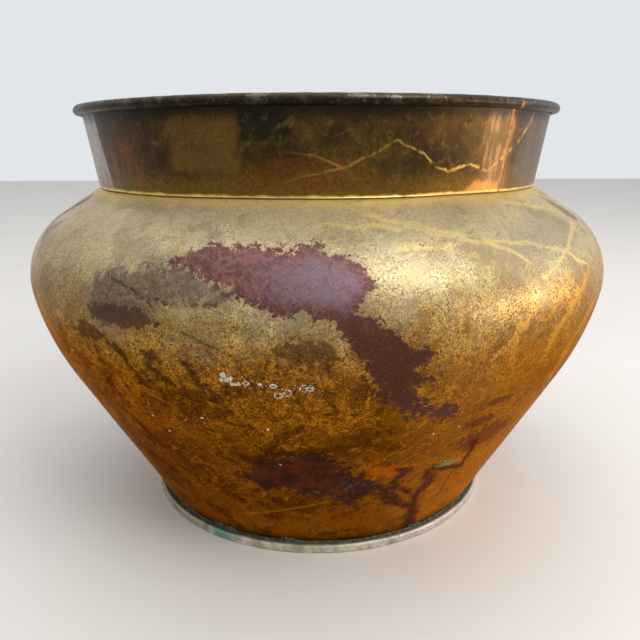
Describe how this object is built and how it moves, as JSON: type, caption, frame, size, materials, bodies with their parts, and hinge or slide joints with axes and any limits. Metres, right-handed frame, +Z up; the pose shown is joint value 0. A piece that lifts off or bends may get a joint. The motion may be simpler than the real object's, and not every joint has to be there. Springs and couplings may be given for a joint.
{
  "type": "brass planter pot",
  "caption": "Large round planter pot of old sheet brass: full shoulder, tapered flank, flared collar with a wired rim, and a base disc held on by a folded seam.",
  "frame": {"origin": "on the floor, on the pot's axis, under the middle of the base", "axes": "+Z up along the pot's axis; +X to the right and -Y towards someone who looks at the front"},
  "size_m": [0.3884, 0.3884, 0.2685],
  "materials": {
    "collar_brass": "dark bronze-brown tarnish, worn, with bright scratches",
    "body_brass": "olive-gold and orange-brown patina with purple-brown stains, dull sheen",
    "base_brass": "grey-tan tarnish with blue-green verdigris",
    "brazing_metal": "coppery brazing metal, filed flush and tarnished",
    "iron_wire": "plain drawn iron wire, hidden in the rim",
    "soft_solder": "dull grey tin-lead solder"
  },
  "bodies": {
    "root": {"neck_collar": "collar_brass", "collar_seam": "brazing_metal", "rim_wire": "iron_wire", "body_shell": "body_brass", "collar_braze": "brazing_metal", "base_plate": "base_brass", "base_solder": "soft_solder"}
  },
  "joints": []
}
